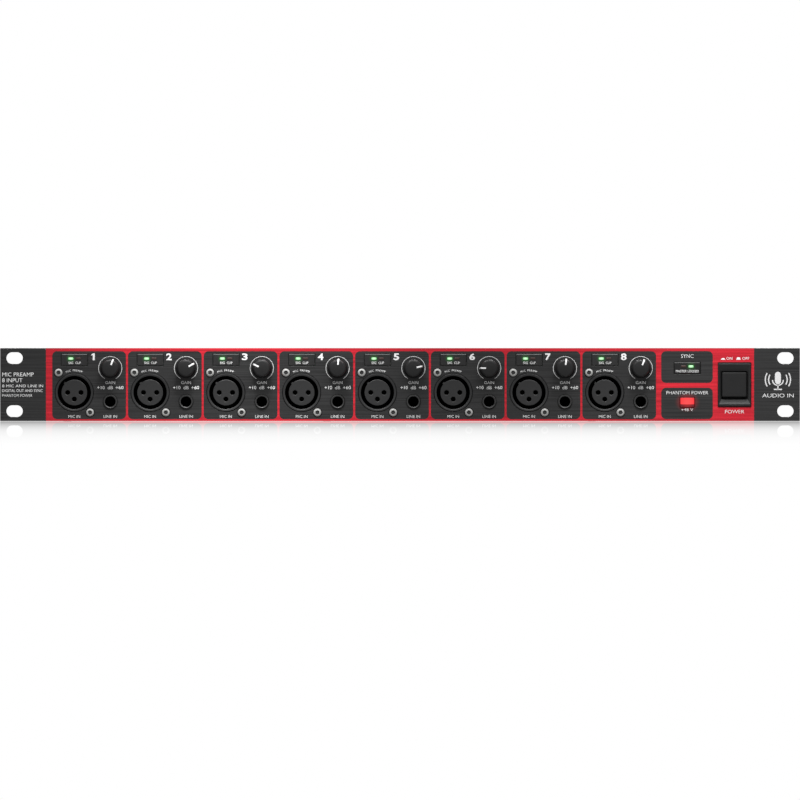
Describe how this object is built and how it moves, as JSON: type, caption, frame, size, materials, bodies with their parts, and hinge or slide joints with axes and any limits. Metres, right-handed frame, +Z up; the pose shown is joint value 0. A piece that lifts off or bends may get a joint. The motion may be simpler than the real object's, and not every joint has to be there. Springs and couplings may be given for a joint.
{
  "type": "microphone preamp",
  "caption": "Rack-mount microphone preamp, one rack unit high: combined channel strips with mic socket, line socket, gain knob and lamps, and a power switch.",
  "frame": {"origin": "centre of the whole part's footprint, at the lowest edge of the front panel", "axes": "+X to the right of someone facing the front, +Y from the front to the rear, +Z up"},
  "size_m": [0.4826, 0.227, 0.044],
  "materials": {
    "panel": "brushed and anodised black, printed red",
    "case": "fine-textured black powder coat",
    "connector": "moulded, satin black",
    "knob": "soft-touch black with a white pointer",
    "lens": "smoked, nearly black",
    "button": "satin black",
    "lit_button": "translucent red, lit from inside",
    "nickel": "nickel plate",
    "board": "green solder mask",
    "transformer": "wound with polyester tape"
  },
  "bodies": {
    "case": {"front_panel": "panel", "chassis_tray": "case", "top_cover": "case", "mic_socket_1": "connector", "mic_socket_2": "connector", "mic_socket_3": "connector", "mic_socket_4": "connector", "mic_socket_5": "connector", "mic_socket_6": "connector", "mic_socket_7": "connector", "mic_socket_8": "connector", "line_socket_1": "connector", "line_socket_2": "connector", "line_socket_3": "connector", "line_socket_4": "connector", "line_socket_5": "connector", "line_socket_6": "connector", "line_socket_7": "connector", "line_socket_8": "connector", "gain_pot_1": "nickel", "gain_pot_2": "nickel", "gain_pot_3": "nickel", "gain_pot_4": "nickel", "gain_pot_5": "nickel", "gain_pot_6": "nickel", "gain_pot_7": "nickel", "gain_pot_8": "nickel", "meter_lens": "lens", "power_bezel": "button", "power_switch": "button", "phantom_switch": "button", "front_board": "board", "main_board": "board", "power_transformer": "transformer", "line_output_1": "connector", "line_output_2": "connector", "line_output_3": "connector", "line_output_4": "connector", "line_output_5": "connector", "line_output_6": "connector", "line_output_7": "connector", "line_output_8": "connector", "optical_ports": "connector", "word_clock_socket": "nickel", "sync_switch": "nickel", "power_inlet": "connector"},
    "gain_knob_1": {"gain_knob_1": "knob"},
    "gain_knob_2": {"gain_knob_2": "knob"},
    "gain_knob_3": {"gain_knob_3": "knob"},
    "gain_knob_4": {"gain_knob_4": "knob"},
    "gain_knob_5": {"gain_knob_5": "knob"},
    "gain_knob_6": {"gain_knob_6": "knob"},
    "gain_knob_7": {"gain_knob_7": "knob"},
    "gain_knob_8": {"gain_knob_8": "knob"},
    "power_button": {"power_button": "button"},
    "phantom_button": {"phantom_button": "lit_button"},
    "sync_selector": {"sync_selector": "button"},
    "fuse_drawer": {"fuse_drawer": "connector"},
    "optical_shutter_in": {"optical_shutter_in": "connector"},
    "optical_shutter_out": {"optical_shutter_out": "connector"}
  },
  "joints": [
    {"name": "gain_turn_1", "type": "hinge", "parent": "case", "child": "gain_knob_1", "pos_m": [-0.1748, -0.1015, 0.0319], "axis": [0, 1, 0], "range_deg": [-170, 130]},
    {"name": "gain_turn_2", "type": "hinge", "parent": "case", "child": "gain_knob_2", "pos_m": [-0.12908, -0.1015, 0.0319], "axis": [0, 1, 0], "range_deg": [-210, 90]},
    {"name": "gain_turn_3", "type": "hinge", "parent": "case", "child": "gain_knob_3", "pos_m": [-0.08336, -0.1015, 0.0319], "axis": [0, 1, 0], "range_deg": [-85, 215]},
    {"name": "gain_turn_4", "type": "hinge", "parent": "case", "child": "gain_knob_4", "pos_m": [-0.03764, -0.1015, 0.0319], "axis": [0, 1, 0], "range_deg": [-156, 144]},
    {"name": "gain_turn_5", "type": "hinge", "parent": "case", "child": "gain_knob_5", "pos_m": [0.00808, -0.1015, 0.0319], "axis": [0, 1, 0], "range_deg": [-228, 72]},
    {"name": "gain_turn_6", "type": "hinge", "parent": "case", "child": "gain_knob_6", "pos_m": [0.0538, -0.1015, 0.0319], "axis": [0, 1, 0], "range_deg": [-60, 240]},
    {"name": "gain_turn_7", "type": "hinge", "parent": "case", "child": "gain_knob_7", "pos_m": [0.09952, -0.1015, 0.0319], "axis": [0, 1, 0], "range_deg": [-158, 142]},
    {"name": "gain_turn_8", "type": "hinge", "parent": "case", "child": "gain_knob_8", "pos_m": [0.14524, -0.1015, 0.0319], "axis": [0, 1, 0], "range_deg": [-172, 128]},
    {"name": "power_press", "type": "slide", "parent": "case", "child": "power_button", "axis": [0, -1, 0], "range_m": [-0.0008, 0.0035]},
    {"name": "phantom_press", "type": "slide", "parent": "case", "child": "phantom_button", "axis": [0, -1, 0], "range_m": [-0.0007, 0.002]},
    {"name": "sync_select", "type": "slide", "parent": "case", "child": "sync_selector", "axis": [1, 0, 0], "range_m": [0, 0.006]},
    {"name": "fuse_drawer_slide", "type": "slide", "parent": "case", "child": "fuse_drawer", "axis": [0, 1, 0], "range_m": [0, 0.014]},
    {"name": "shutter_in_swing", "type": "hinge", "parent": "case", "child": "optical_shutter_in", "pos_m": [0.0372, 0.102, 0.0269], "axis": [-1, 0, 0], "range_deg": [0, 85], "stiffness_Nm_per_rad": 0.00005, "springref_deg": -28.65},
    {"name": "shutter_out_swing", "type": "hinge", "parent": "case", "child": "optical_shutter_out", "pos_m": [0.0508, 0.102, 0.0269], "axis": [-1, 0, 0], "range_deg": [0, 85], "stiffness_Nm_per_rad": 0.00005, "springref_deg": -28.65}
  ]
}
